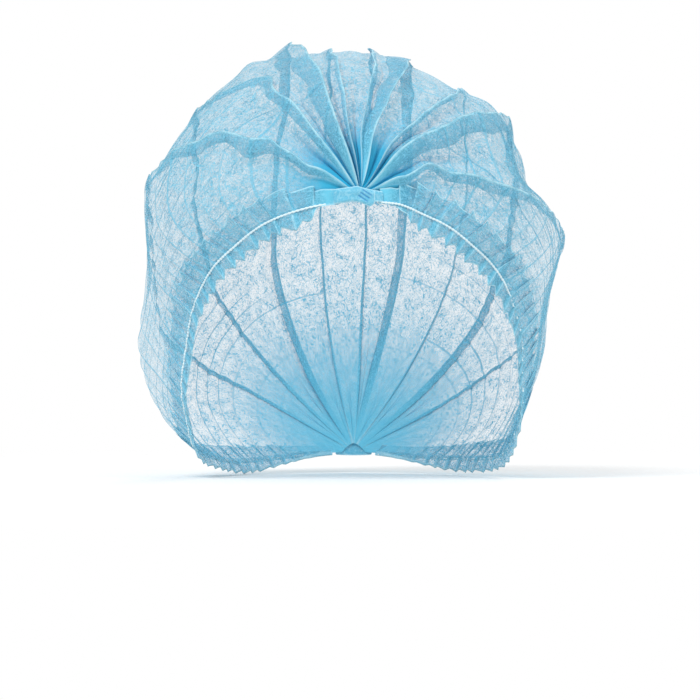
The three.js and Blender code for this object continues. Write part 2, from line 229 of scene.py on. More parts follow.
def lifted(along, degrees, height):
    """A point at a height above the smooth dome, along the dome's outward normal there, which is the cross
    product of a small step across and a small step along."""
    near, far = np.maximum(along - NUDGE_ALONG, 0), np.minimum(along + NUDGE_ALONG, 1)
    forward = dome(far, degrees) - dome(near, degrees)
    across = dome(along, degrees + NUDGE_DEG) - dome(along, degrees - NUDGE_DEG)
    normal = np.cross(across, forward)
    normal /= np.linalg.norm(normal, axis=-1, keepdims=True)
    return dome(along, degrees) + normal * np.asarray(height)[..., None]


def lengths(points, axis):
    """Distance covered so far along one axis of a grid of points, starting from 0."""
    steps = np.linalg.norm(np.diff(points, axis=axis), axis=-1)
    start = np.zeros_like(np.take(steps, [0], axis=axis))
    return np.concatenate([start, np.cumsum(steps, axis=axis)], axis=axis)


LADDER = np.linspace(0, 1, 1201)  # places along the sheet at which lengths are measured


def share_along(degrees):
    """Share of the cloth's length from weld to weld at every place of the ladder, at one section angle."""
    covered = lengths(dome(LADDER, degrees), 0)
    return covered / covered[-1]


HEM_SHARE = (share_along(-HEM_DEG) + share_along(HEM_DEG)) / 2
HEM_TUCKS = 37


def lobes_of(fold, along, column):
    """One column of a fold's lobes, each spread along the fold as a bell curve."""
    total = np.zeros_like(along)
    for lobe in LOBES:
        if FOLDS[lobe["fold"]] is fold:
            total = total + lobe[column] * bell(along - lobe["at"], lobe["length"])
    return total


def slack_share(along):
    """How freely a fold can wander: not at all by the welds, fully between them, by smooth steps."""
    return ramp(along, SLACK_FROM, SLACK_AT) * ramp(1 - along, SLACK_FROM, SLACK_AT)


def fold_degrees(fold, along):
    """Section angle of a fold's crest: its fan, middle, crown and rear angles joined by smooth steps, with
    a slow wobble where the fold is slack, and its lobes' turns."""
    degrees = fold["fan_deg"] + (fold["mid_deg"] - fold["fan_deg"]) * ramp(along, 0, FAN_MIDDLE)
    degrees = degrees + (fold["crown_deg"] - fold["mid_deg"]) * ramp(along, FAN_MIDDLE, FAN_ENDS)
    degrees = degrees + (fold["rear_deg"] - fold["crown_deg"]) * ramp(along, REAR_FAN_STARTS, 1)
    wave = np.zeros_like(along)
    for k, (count, size) in enumerate(WOBBLE_WAVES, start=1):
        wave = wave + size * np.sin(2 * np.pi * count * along + k * fold["fan_deg"])
    return degrees + fold["wobble_deg"] * slack_share(along) * wave + lobes_of(fold, along, "turn_deg")


FOLD_GROWS_OVER = 0.045
FOLD_LEAST = 0.5  # millimetres by which every crest stands up at least
FOLD_OPENS_OVER = 0.03  # share of the sheet over which a fold's layers spread out from a weld
FOLD_LEAD = 3.5  # millimetres over which a layer leaves or reaches the plain cloth
RUFFLES = 11  # how often a slack fold's band swells from weld to weld
LAYER_GAP = 0.22  # height of the hidden inner fold, as a share of the crest's
LAYER_COLUMNS = 8
PANEL_COLUMN = 3.0  # millimetres between columns of the plain cloth
PANEL_COLUMNS_LEAST = 3
PANEL_SAG = 2.5  # millimetres by which the plain cloth between two folds sags in the fan
PANEL_SWELL = -0.9  # the same on the crown, where it swells instead
CLOTH_STANDS_OFF = 3  # millimetres from the smooth dome to the folded cloth, on average


def cloth_per_degree(along):
    """Millimetres of cloth across a degree of section angle, with each section taken as a circle."""
    return np.radians(section(along)["half_width"] + CLOTH_STANDS_OFF)


def fold_stages(along):
    """How far folds have grown from the front weld, by an exponential, how tightly the crown draws them, and
    what is left of them towards the rear, both by smooth steps."""
    grown = 1 - np.exp(-along / FOLD_GROWS_OVER)
    tight = ramp(along, CROWN_STARTS, CROWN_FULL)
    kept = 1 - (1 - FOLD_LEFT_AT_REAR) * ramp(along, NARROWS_FROM, NARROWED_AT)
    return grown, tight, kept


def fold_knots(fold, along):
    """Four knots across a fold from left to right, each an angle and a height in every row: where it leaves
    the plain cloth, the crest, the inner fold tucked back under the crest, and where it reaches the plain
    cloth again, or the mirror of that where the crest faces left."""
    grown, tight, kept = fold_stages(along)
    crest = fold_degrees(fold, along)
    fan_height, crown_height = fold["fan_height"] * grown, fold["crown_height"] * kept
    height = fan_height + (crown_height - fan_height) * tight + FOLD_LEAST
    wave = np.sin(2 * np.pi * RUFFLES * along + 3 * fold["mid_deg"])
    ruffle = fold["ruffle"] * slack_share(along) * wave
    width = fold["tuck"] * kept * (1 + kept * ruffle) + lobes_of(fold, along, "wider")
    opened = fold["facing"] * along / (along + FOLD_OPENS_OVER) / cloth_per_degree(along)
    tuck, lead = width * opened, FOLD_LEAD * opened
    plain = np.zeros_like(along)
    knots = [
        (crest - tuck - lead, plain),
        (crest, height),
        (crest - tuck, LAYER_GAP * height),
        (crest + lead, plain),
    ]
    return knots[:: fold["facing"]]


def pleats(along):
    """Angle and height of each column of the sheet, row by row, and which columns are crests.

    Columns lie evenly between the folds' knots, and folds that would overlap meet halfway. The outer layer
    of a fold bulges halfway to a quarter sine. The plain cloth between two folds sags in the fan and swells
    on the crown, by half a sine. One pass of a 1-2-1 average rounds the creases."""
    grown, tight, _ = fold_stages(along)
    per_degree = cloth_per_degree(along)
    widest = np.argmax(per_degree)
    plain = np.zeros_like(along)
    folds = [fold_knots(fold, along) for fold in FOLDS]
    for left, right in zip(folds[:-1], folds[1:]):
        (end, low), (start, _) = left[-1], right[0]
        middle = (end + start) / 2
        left[-1] = (np.minimum(end, middle), low)
        right[0] = (np.maximum(start, middle), low)
    paths = [[(plain - HEM_DEG, plain)]] + folds + [[(plain + HEM_DEG, plain)]]
    facings = [0] + [fold["facing"] for fold in FOLDS]
    sag = PANEL_SAG * grown + (PANEL_SWELL - PANEL_SAG * grown) * tight
    layer_share = np.arange(LAYER_COLUMNS)[:, None] / LAYER_COLUMNS
    degrees, heights, crests = [], [], []
    for path, next_path, facing in zip(paths[:-1], paths[1:], facings):
        outer = 0 if facing > 0 else 2
        for layer, ((a, low), (b, high)) in enumerate(zip(path[:-1], path[1:])):
            degrees.append(a + (b - a) * layer_share)
            share = layer_share
            if layer == outer:
                bulged = np.sin(np.pi / 2 * share) if facing > 0 else 1 - np.sin(np.pi / 2 * (1 - share))
                share = (share + bulged) / 2
            heights.append(low + (high - low) * share)
        if facing:
            layers_past_crest = 2 if facing > 0 else 1
            crests.append(sum(map(len, degrees)) - layers_past_crest * LAYER_COLUMNS)
        (a, low), (b, _) = path[-1], next_path[0]
        widest_mm = (b - a)[widest] * per_degree[widest]
        columns = max(PANEL_COLUMNS_LEAST, int(np.ceil(widest_mm / PANEL_COLUMN)))
        share = np.arange(columns)[:, None] / columns
        between_folds = len(path) == len(next_path)
        degrees.append(a + (b - a) * share)
        heights.append(low - (sag if between_folds else plain) * np.sin(np.pi * share))
    degrees = np.concatenate(degrees + [plain[None] + HEM_DEG]).T
    heights = np.concatenate(heights + [plain[None]]).T
    for grid in (degrees, heights):
        grid[:, 1:-1] = (grid[:, :-2] + 2 * grid[:, 1:-1] + grid[:, 2:]) / 4
    return degrees, heights, crests


CREASE_BY_HEM = 2.0  # height of a ridge beside the hem, on the side panels and on top, in millimetres
CREASE_ON_SIDES = 1.0
CREASE_ON_TOP = 0.4
CREASE_TOP_DEG, CREASE_SIDES_DEG, CREASE_HEM_DEG = 20, 60, 95  # angles between which the height changes
CREASE_ENDS_DEG, CREASE_ENDS_VARY_DEG = 40, 30  # section angle up to which ridges reach, more or less
CREASE_FADES_DEG = (-12, 8)  # and between which angles from there a ridge fades
CREASE_GROWS_FRONT = (0.05, 0.14)
CREASE_GROWS_REAR = (0.02, 0.10)


def creases(along, degrees):
    """Sharp ridges that run up the cloth from the hem's tucks. The phase counts tucks from the front weld
    and wanders by two sines, and there is a ridge at every whole phase, (1 - 2d)^2 high at a distance of d
    phases. Each ridge reaches up to an angle of its own. Returns height, phase and strength."""
    tucks = HEM_TUCKS * np.interp(along, LADDER, HEM_SHARE)
    side = np.sign(degrees)
    wander = 0.20 * np.sin(1.3 * tucks + 0.021 * degrees)
    wander = wander + 0.25 * np.sin(0.47 * tucks - 0.017 * degrees + side)
    phase = tucks + wander
    line = np.round(phase)
    ends_at = CREASE_ENDS_DEG + CREASE_ENDS_VARY_DEG * np.sin(7.3 * line + 2.1 * side) * np.sin(2.7 * line)
    angle = np.abs(degrees)
    strength = ramp(angle, *(ends_at + fades for fades in CREASE_FADES_DEG))
    strength = strength * ramp(along, *CREASE_GROWS_FRONT) * ramp(1 - along, *CREASE_GROWS_REAR)
    size = CREASE_ON_TOP + (CREASE_ON_SIDES - CREASE_ON_TOP) * ramp(angle, CREASE_TOP_DEG, CREASE_SIDES_DEG)
    size = size + (CREASE_BY_HEM - CREASE_ON_SIDES) * ramp(angle, CREASE_HEM_DEG, HEM_DEG)
    height = size * strength * (1 - 2 * np.abs(phase - line)) ** 2
    return height, phase, strength * (0.7 + 0.3 * np.sin(5.1 * line + side))


def swells(along, degrees):
    """The broad bulges and dents, each a bell curve along and across, and slow waves of slack cloth, which
    are the product of two slanting sines."""
    total = SLACK_WAVE * np.sin(34 * along + 0.07 * degrees) * np.sin(0.055 * degrees - 11 * along)
    total = total * ramp(along, *SLACK_WAVE_GROWS)
    for swell in SWELLS:
        spread = bell(along - swell["at"], swell["along"])
        spread = spread * bell(degrees - swell["deg"], swell["across_deg"])
        total = total + swell["height"] * spread
    return total


CROWN_ROWS = 290
STACK_COVERS = 0.05  # share of the sheet over which the pleats close up into the pressed stack
STACK_STARTS = -0.01
STACK_CROWDS = 0.4  # above 0, the stack's middle columns crowd together
PACKED_OVER = 0.065  # share of the sheet over which the gathered cloth is still many layers deep
POCKETS_OVER = 0.09  # and over which the pockets between the front fan's crests are deep
VALLEY_BELOW = 2.2  # cloth lower than this, in millimetres, lies in a pocket between crests
DRAWN_ABOVE_DEG = (55, BELT_DEG)  # section angles between which cloth begins to be drawn thin
DRAWN_BELOW_DEG = (112, HEM_DEG)  # and between which it is full again
DRAWN_FRONT = (0.2, 0.4)
DRAWN_REAR = (0.1, 0.3)
FRONT_STACK = {"middle": (2.4, -86.3, 67.4), "half_width": 5.4, "drop": 4.6}
REAR_STACK = {"middle": (0.0, 93.0, -43.2), "half_width": 5.5, "drop": 3.8}


def pressed_stack(stack, degrees):
    """The end of the pleats, closed up under a weld: a low parabola whose middle columns crowd together."""
    share = degrees / HEM_DEG
    x = stack["middle"][0] + stack["half_width"] * share * np.abs(share) ** STACK_CROWDS
    y = np.full_like(share, stack["middle"][1])
    z = stack["middle"][2] - stack["drop"] * share**2
    return np.stack([x, y, z], -1)


def crown_surface():
    """The whole sheet as a grid from weld to weld and from hem to hem, in millimetres, with the distance of
    each point from the nearest crest, the creases' phase and strength, how closely the cloth is packed by
    the welds, how deep it lies in a pocket by the front weld, and how far it is drawn thin at the belt."""
    measured = (-HEM_DEG, -BELT_DEG, 0, BELT_DEG, HEM_DEG)
    even = sum(share_along(deg) for deg in measured) / len(measured)
    along = np.interp(np.linspace(0, 1, CROWN_ROWS), even, LADDER)
    degrees, heights, crests = pleats(along)
    rows = np.broadcast_to(along[:, None], degrees.shape)
    ridge, phase, strength = creases(rows, degrees)
    points = lifted(rows, degrees, heights + ridge + swells(rows, degrees))
    for stack, distance in ((FRONT_STACK, rows), (REAR_STACK, 1 - rows)):
        open_share = ramp(distance, STACK_STARTS, STACK_COVERS)[..., None]
        points = points * open_share + pressed_stack(stack, degrees) * (1 - open_share)
    covered = lengths(points, 1)
    angle = np.abs(degrees)
    drawn = ramp(angle, *DRAWN_ABOVE_DEG) * (1 - ramp(angle, *DRAWN_BELOW_DEG))
    return points, {
        "crest_mm": np.min([np.abs(covered - covered[:, [k]]) for k in crests], axis=0),
        "crease_phase": phase,
        "crease_strength": strength,
        "packed": bell(rows, PACKED_OVER) + bell(1 - rows, PACKED_OVER),
        "pocket": bell(rows, POCKETS_OVER) * (1 - ramp(heights, 0, VALLEY_BELOW)),
        "drawn": drawn * ramp(rows, *DRAWN_FRONT) * ramp(1 - rows, *DRAWN_REAR),
    }


CLOTH_MAP = "OFBake"


def mesh_object(name, points, quads, values, flat=None):
    """A smooth mesh from points in millimetres and quads of their numbers, with named values on its points
    and, if flat gives them places, a flat map."""
    mesh = bpy.data.meshes.new(name)
    mesh.from_pydata((points * MM).reshape(-1, 3), [], quads)
    mesh.polygons.foreach_set("use_smooth", np.ones(len(quads), bool))
    if flat is not None:
        layer = mesh.uv_layers.new(name=CLOTH_MAP)
        layer.uv.foreach_set("vector", flat[quads.ravel()].astype(np.float32).ravel())
    for value_name, per_point in values.items():
        data = mesh.attributes.new(value_name, "FLOAT", "POINT").data
        data.foreach_set("value", per_point.astype(np.float32).ravel())
    made = bpy.data.objects.new(name, mesh)
    scene.collection.objects.link(made)
    return made


def sheet_object(name, points, values):
    """A mesh from a grid of points, whose flat map gives each row and column its mean share of the cloth's
    length and width."""
    rows, columns = points.shape[:2]
    index = np.arange(rows * columns).reshape(rows, columns)
    quads = np.stack([index[:-1, :-1], index[:-1, 1:], index[1:, 1:], index[1:, :-1]], -1).reshape(-1, 4)
    across = lengths(points, 1).mean(0)
    forward = lengths(points, 0).mean(1)
    flat = np.stack(np.meshgrid(across / across[-1], forward / forward[-1]), -1).reshape(-1, 2)
    return mesh_object(name, points, quads, values, flat)


def feed(tree, node, inputs):
    """Each named input of a node gets a value or another node's output."""
    for name, value in inputs.items():
        if isinstance(value, bpy.types.NodeSocket):
            tree.links.new(value, node.inputs[name])
        else:
            node.inputs[name].default_value = value


def wired(tree, kind, inputs, **settings):
    """One new node with its properties set and its inputs fed."""
    made = tree.nodes.new(kind)
    for name, value in settings.items():
        setattr(made, name, value)
    feed(tree, made, inputs)
    return made


def sum_of(tree, operation, first, second=0.0, third=0.0, clamp=False):
    """The result of one Math node."""
    inputs = {0: first, 1: second, 2: third}
    return wired(tree, "ShaderNodeMath", inputs, operation=operation, use_clamp=clamp).outputs[0]


def band(tree, value, start, end, low, high):
    """A value eased from low at start to high at end."""
    inputs = {"Value": value, "From Min": start, "From Max": end, "To Min": low, "To Max": high}
    return wired(tree, "ShaderNodeMapRange", inputs, interpolation_type="SMOOTHSTEP").outputs["Result"]


def mixed(tree, share, first, second):
    """A colour that goes from the first to the second as its share goes from 0 to 1."""
    inputs = {"Factor": share, "A": first, "B": second}
    return wired(tree, "ShaderNodeMix", inputs, data_type="RGBA").outputs["Result"]


BUMP_HEIGHT = 0.0002


def bumped(tree, height, strength):
    """The surface's normal, tilted by the slope of a height."""
    inputs = {"Height": height, "Strength": strength, "Distance": BUMP_HEIGHT}
    return wired(tree, "ShaderNodeBump", inputs).outputs["Normal"]


def attribute(tree, name):
    """The value that a named attribute has on the surface."""
    return wired(tree, "ShaderNodeAttribute", {}, attribute_name=name).outputs["Fac"]


def new_material(name):
    """A new material, its node tree and its surface."""
    material = bpy.data.materials.new(name)
    material.use_nodes = True
    return material, material.node_tree, material.node_tree.nodes["Principled BSDF"]


# Fibres of the cloth: turn in degrees, lines for each metre across and along, and half width of a line
# as a share of the noise's range.
FIBRE_LAYERS = [
    (12, 700, 280, 0.027),
    (47, 860, 340, 0.022),
    (84, 760, 320, 0.024),
    (131, 640, 260, 0.028),
]
FIBRE_CORE = 0.3  # share of a fibre's half width that is full
CLOUDS_PER_METRE = 150.0


def fibre_group():
    """Fibres laid at random: thin lines where stretched and turned noises cross their middle value, and
    slow clouds where the fibres lie thicker or thinner."""
    group = bpy.data.node_groups.new("spunbond_fibres", "ShaderNodeTree")
    group.interface.new_socket("Place", in_out="INPUT", socket_type="NodeSocketVector")
    for name in ("Fibres", "Clouds"):
        group.interface.new_socket(name, in_out="OUTPUT", socket_type="NodeSocketFloat")
    place = group.nodes.new("NodeGroupInput").outputs["Place"]
    fibres = 0.0
    for turn, across, forward, width in FIBRE_LAYERS:
        turned = wired(group, "ShaderNodeMapping", {
            "Vector": place,
            "Rotation": (0, 0, np.radians(turn)),
            "Scale": (1 / across, 1 / forward, 1),
            "Location": (turn, 2 * turn, 0),
        }, vector_type="TEXTURE")
        noise = wired(group, "ShaderNodeTexNoise", {
            "Vector": turned.outputs[0], "Scale": 1.0, "Detail": 1.0, "Distortion": 0.4,
        }, noise_dimensions="2D")
        off_middle = sum_of(group, "ABSOLUTE", sum_of(group, "SUBTRACT", noise.outputs["Fac"], 0.5))
        line = band(group, off_middle, FIBRE_CORE * width, width, 1.0, 0.0)
        fibres = sum_of(group, "MAXIMUM", fibres, line)
    clouds = wired(group, "ShaderNodeTexNoise", {
        "Vector": place, "Scale": CLOUDS_PER_METRE, "Detail": 2.0,
    }, noise_dimensions="2D").outputs["Fac"]
    wired(group, "NodeGroupOutput", {"Fibres": fibres, "Clouds": clouds})
    return group


FIBRES = fibre_group()
CLOTH_BLUE = (0.115, 0.460, 0.650, 1)
# The next colour is the fibres' paler tone and a painted highlight on crests, folds and cut edges.
CLOTH_PALE_AND_HIGHLIGHT = (0.420, 0.720, 0.830, 1)  # on crests and cut edges
# The next colour is the fuller blue of packed layers and painted light standing in for the light that passes
# through them.
CLOTH_FULL_AND_PAINTED_LIGHT = (0.130, 0.560, 0.760, 1)  # where many layers are packed
# The next colour is painted shade in the pockets between the gathered crests.
CLOTH_POCKET_SHADE = (0.004, 0.400, 0.660, 1)  # in the pockets of the gather
CLOTH_ROUGHNESS = 0.75
CLOTH_SHEEN = 0.12
CLOUDS_VARY = (0.3, 0.7, 0.75, 1.25)  # range of the clouds, and what they multiply the cloth's cover by
CLOUDS_FADE = (0.35, 0.6, 0.45, 0.95)  # the same for crests
FIBRES_PALER = 0.25
LINES_COVER = 0.65  # how much more the cloth covers on folded lines, in pockets and where it is packed
POCKETS_COVER = 0.6
PACKED_COVERS = 0.85
DRAWN_COVERS = 0.6  # how much it still covers where it is drawn thin
CROWN_COVERS = (0.21, 0.80)


def flat_place(tree, width, length):
    """Metres on the flat cloth."""
    flat = wired(tree, "ShaderNodeUVMap", {}, uv_map=CLOTH_MAP).outputs["UV"]
    return wired(tree, "ShaderNodeMapping", {"Vector": flat, "Scale": (width, length, 1)}).outputs[0]


def spread_size(points):
    """Width and length in metres of a grid of cloth, along its widest row and its mean column."""
    return lengths(points, 1)[:, -1].max() * MM, lengths(points, 0)[-1].mean() * MM


def cloth_material(name, size, lines_of, covers):
    """Spunbond cloth. Its alpha goes from the first cover between fibres to the second on them, clouds vary
    it, and folded lines, pockets and packed cloth are denser. Crests are paler by a painted highlight,
    packed cloth is a fuller blue, partly painted light for what passes through its layers, and pockets are a
    deeper blue, which is painted shade. lines_of gives the masks of crests and of all lines. A sheet without
    one of the attributes packed, pocket and drawn reads it as 0."""
    material, tree, surface = new_material(name)
    group = wired(tree, "ShaderNodeGroup", {"Place": flat_place(tree, *size)}, node_tree=FIBRES)
    fibres, clouds = group.outputs["Fibres"], group.outputs["Clouds"]
    packed, pocket = attribute(tree, "packed"), attribute(tree, "pocket")
    crests, lines = lines_of(tree)
    cover = band(tree, fibres, 0, 1, *covers)
    cover = sum_of(tree, "MULTIPLY", cover, band(tree, clouds, *CLOUDS_VARY))
    cover = sum_of(tree, "MULTIPLY", cover, band(tree, attribute(tree, "drawn"), 0, 1, 1.0, DRAWN_COVERS))
    alpha = sum_of(tree, "MULTIPLY_ADD", lines, LINES_COVER, cover)
    alpha = sum_of(tree, "MULTIPLY_ADD", pocket, POCKETS_COVER, alpha)
    alpha = sum_of(tree, "MULTIPLY_ADD", packed, PACKED_COVERS, alpha, clamp=True)
    # The crests' mask paints a highlight, which the clouds fade.
    crests = sum_of(tree, "MULTIPLY", crests, band(tree, clouds, *CLOUDS_FADE))
    fibres_and_highlight = sum_of(tree, "MULTIPLY_ADD", fibres, FIBRES_PALER, crests, clamp=True)
    colour = mixed(tree, packed, CLOTH_BLUE, CLOTH_FULL_AND_PAINTED_LIGHT)
    colour = mixed(tree, fibres_and_highlight, colour, CLOTH_PALE_AND_HIGHLIGHT)
    feed(tree, surface, {
        "Base Color": mixed(tree, pocket, colour, CLOTH_POCKET_SHADE),
        "Alpha": alpha,
        "Normal": bumped(tree, fibres, 0.25),
        "Roughness": CLOTH_ROUGHNESS,
        "Specular IOR Level": 0.25,
        "Sheen Weight": CLOTH_SHEEN,
        "Sheen Roughness": 0.5,
    })
    return material


def crown_lines(tree):
    """Crests, which fade out within 1.6 millimetres, and creases at whole phases where they are strong."""
    # The crests' mask carries the painted highlight; the creases only thicken the cover.
    crest = band(tree, attribute(tree, "crest_mm"), 0.1, 1.6, 1.0, 0.0)
    half_phase = sum_of(tree, "PINGPONG", attribute(tree, "crease_phase"), 0.5)
    crease = band(tree, half_phase, 0.02, 0.065, 0.8, 0.0)
    crease = sum_of(tree, "MULTIPLY", crease, attribute(tree, "crease_strength"))
    return crest, sum_of(tree, "MAXIMUM", crest, crease)


crown_points, crown_values = crown_surface()
crown = sheet_object("crown_cloth", crown_points, crown_values)
crown.data.materials.append(
    cloth_material("crown_cloth", spread_size(crown_points), crown_lines, CROWN_COVERS)
)
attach(crown, "root")
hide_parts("crown")

# The hems. Each long edge of the sheet is turned over and gathered on the elastic: above it lies a doubled
# band that ends in a raw edge, below it a short frill, folded at its edge and turned back inside. The
# gathers are pressed into small knife tucks that all lean towards the front weld.
HEM_RISE, HEM_RISE_AT_WELD = 12.0, 6.0  # millimetres from the elastic up to the raw edge
FRILL_DROP, FRILL_DROP_AT_WELD = 6.2, 0.7  # and down to the frill's fold
RETURN_RISE = 1.5  # and up again to where the turned-back cloth ends
HEM_STARTS = {-1: 0.030, 1: 0.003}  # where each hem leaves the front tab, whose left end is the longer one
HEM_ENDS = 0.988
HEM_GROWS_OVER = 0.12
FRILL_GROWS = {-1: (0.066, 0.10), 1: (0.02, 0.15)}  # between which places each frill grows to its full width
HEM_OFF_CROWN = 0.6
HEM_PACKED_OVER = 0.045  # share of the sheet over which the hem's cloth is still pressed by the front weld
HEM_COVERS = (0.30, 0.90)
BAND_ROWS, FRILL_ROWS, RETURN_ROWS = 14, 9, 8

# One tuck as it repeats along the hem: shares of the cloth, shares of the way along, and lift.
TUCK_CLOTH = [0.0, 0.15, 0.35, 0.65, 1.0]
TUCK_ALONG = [0.0, 0.16, -0.02, 0.50, 1.0]
TUCK_LIFT = [0.0, 0.42, 1.00, 0.45, 0.0]
TUCK_STEPS = 20

# The hem's profile. Rows count from the raw edge at 0 over the elastic at 1 and the frill's fold at 2 to the
# end of the return at 3, and each value is a broken line over them: shares of the three heights, how freely
# the tucks shift along, how high they lift, and how far the cloth lies off the crown.
HEM_PROFILE = {
    "band": ([0, 1], [1, 0]),
    "frill": ([1, 2, 3], [0, 1, 0]),
    "return": ([2, 3], [0, 1]),
    "loose": ([0, 0.6, 1, 1.4], [1.0, 0.8, 0.3, 0.0]),
    "lift": ([0, 1, 1.4, 2, 3], [2.0, 0.8, 1.2, 1.7, 0.4]),
    "off": ([0, 1, 2, 2.15, 3], [0, 0.25, 0.5, -0.3, -0.9]),
}
SCALLOP, SCALLOP_SUNK, SCALLOP_VARIES = 3.0, 1.0, 0.5  # of the raw edge at each tuck, in millimetres
SCALLOPS_GROW = (0.02, 0.05)
TOOTH, TOOTH_SUNK = 3.5, 1.4  # of the frill's fold at each tuck, in millimetres
TEETH_LOSE, TEETH_SHRINK = 0.7, (0.40, 0.56)  # share of their size that they lose, and where
TUCKS_LOSE, TUCKS_SHRINK = 0.4, (0.42, 0.58)
PUCKER, PUCKERS_IN_TUCK, PUCKER_REACH = 0.45, 3, 2.6


def hem_places(share, side):
    """Place along the sheet at a share of the elastic's length."""
    first, last = np.interp([HEM_STARTS[side], HEM_ENDS], LADDER, HEM_SHARE)
    return np.interp(first + (last - first) * share, HEM_SHARE, LADDER)


def hem_surface(side):
    """The profile of band, frill and return, carried along the elastic over the swelling dome. Tucks of
    uneven width shift the band's points along the hem, lift the cloth off the dome, and end in scallops at
    the raw edge and in teeth at the frill's fold. The elastic puckers the cloth beside it finely. Returns
    the points with their distance from an edge, the tucks' phase and how closely the cloth is packed."""
    cloth = np.linspace(0, 1, HEM_TUCKS * TUCK_STEPS + 1)[:, None]
    count = HEM_TUCKS * cloth
    uneven = count + 0.12 * np.sin(1.9 * count + side) + 0.06 * np.sin(3.7 * count)
    whole, part = np.floor(uneven), uneven % 1
    shift = whole + np.interp(part, TUCK_CLOTH, TUCK_ALONG) - uneven
    lift = np.interp(part, TUCK_CLOTH, TUCK_LIFT)
    down = np.concatenate([
        np.linspace(0, 1, BAND_ROWS, endpoint=False),
        np.linspace(1, 2, FRILL_ROWS, endpoint=False),
        np.linspace(2, 3, RETURN_ROWS),
    ])[None, :]
    profile = {name: np.interp(down, *line) for name, line in HEM_PROFILE.items()}
    along = hem_places(np.clip(cloth + profile["loose"] * shift / HEM_TUCKS, 0, 1), side)
    from_weld, to_end = along - HEM_STARTS[side], HEM_ENDS - along
    ended = ramp(to_end, 0, HEM_GROWS_OVER)
    grown = ramp(np.minimum(from_weld, to_end), 0, HEM_GROWS_OVER)
    frilled = ramp(along, *FRILL_GROWS[side]) * ended
    scallop = SCALLOP * lift**2 - SCALLOP_SUNK + SCALLOP_VARIES * np.sin(5.1 * count)
    tooth = (TOOTH * lift - TOOTH_SUNK) * (1 - TEETH_LOSE * ramp(along, *TEETH_SHRINK))
    top = HEM_RISE_AT_WELD + (HEM_RISE - HEM_RISE_AT_WELD) * grown
    top = top + ramp(from_weld, *SCALLOPS_GROW) * ended * scallop
    drop = FRILL_DROP_AT_WELD + (FRILL_DROP - FRILL_DROP_AT_WELD) * frilled + frilled * tooth
    rise = top * profile["band"] - drop * profile["frill"] + RETURN_RISE * profile["return"]
    pucker = PUCKER * np.abs(np.sin(np.pi * PUCKERS_IN_TUCK * uneven)) * bell(rise, PUCKER_REACH)
    one_degree = np.where(rise < 0, -1, 1)
    per_degree = np.linalg.norm(
        dome(along, side * HEM_DEG) - dome(along, side * (HEM_DEG - one_degree)), axis=-1
    )
    degrees = side * (HEM_DEG - rise / per_degree)
    tucked = profile["lift"] * (1 - TUCKS_LOSE * ramp(along, *TUCKS_SHRINK)) * lift
    off = HEM_OFF_CROWN + profile["off"] + grown * (tucked + pucker)
    points = lifted(along, degrees, swells(along, degrees) + off)
    edge = np.minimum(np.abs(top * down), np.abs(drop * (down - 2)))
    values = {
        "edge_mm": edge,
        "tuck_phase": np.broadcast_to(uneven - TUCK_CLOTH[2], edge.shape),
        "packed": bell(from_weld, HEM_PACKED_OVER),
    }
    if side > 0:
        points = points[:, ::-1]
        values = {name: value[:, ::-1] for name, value in values.items()}
    return points, values


def hem_lines(tree):
    """The raw edge and the frill's fold, which fade out within 0.8 millimetres, the crest of every tuck, and
    the doubled cloth beside it."""
    phase = attribute(tree, "tuck_phase")
    edge = band(tree, attribute(tree, "edge_mm"), 0.25, 0.8, 1.0, 0.0)
    tuck = band(tree, sum_of(tree, "PINGPONG", phase, 0.5), 0.02, 0.07, 0.5, 0.0)
    # The edges and the tucks' crests carry the painted highlight; the doubled cloth only thickens the cover.
    crests = sum_of(tree, "MAXIMUM", edge, tuck)
    doubled = band(tree, sum_of(tree, "FRACT", phase), 0.70, 0.85, 0.0, 0.65)
    return crests, sum_of(tree, "MAXIMUM", crests, doubled)


hem_cloth = cloth_material("hem_cloth", spread_size(hem_surface(1)[0]), hem_lines, HEM_COVERS)
for label, side in (("left", -1), ("right", 1)):
    hem = sheet_object(f"hem_cloth_{label}", *hem_surface(side))
    hem.data.materials.append(hem_cloth)
    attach(hem, "root")
    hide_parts(f"hem_{label}")

# The elastics. A thin elastic thread in a white cover is sealed in along each hem and draws it in. The cover
# is wound round the core, so the thread looks beaded, and it rides up and down a little over the tucks.
ELASTIC_RADIUS = 0.45
ELASTIC_OFF_CROWN = 1.75  # millimetres from the smooth dome to the middle of the thread
ELASTIC_SUNK = 0.2  # the same under the front tab
ELASTIC_HALF_SUNK = {-1: 1.4, 1: 0.9}  # and past the sides
ELASTIC_SURFACES = {-1: (0.04, 0.085), 1: (0.0, 0.02)}  # where each thread comes out from under its hem
ELASTIC_SINKS = (0.37, 0.47)  # where it sinks halfway in again
ELASTIC_RIDES = 0.12
ELASTIC_POINTED = 1 / 400  # share of its length over which an end closes
ELASTIC_SIDES = 10
BEADS = 170
BEAD_SWELLS = 0.28
BEAD_STEPS = 7


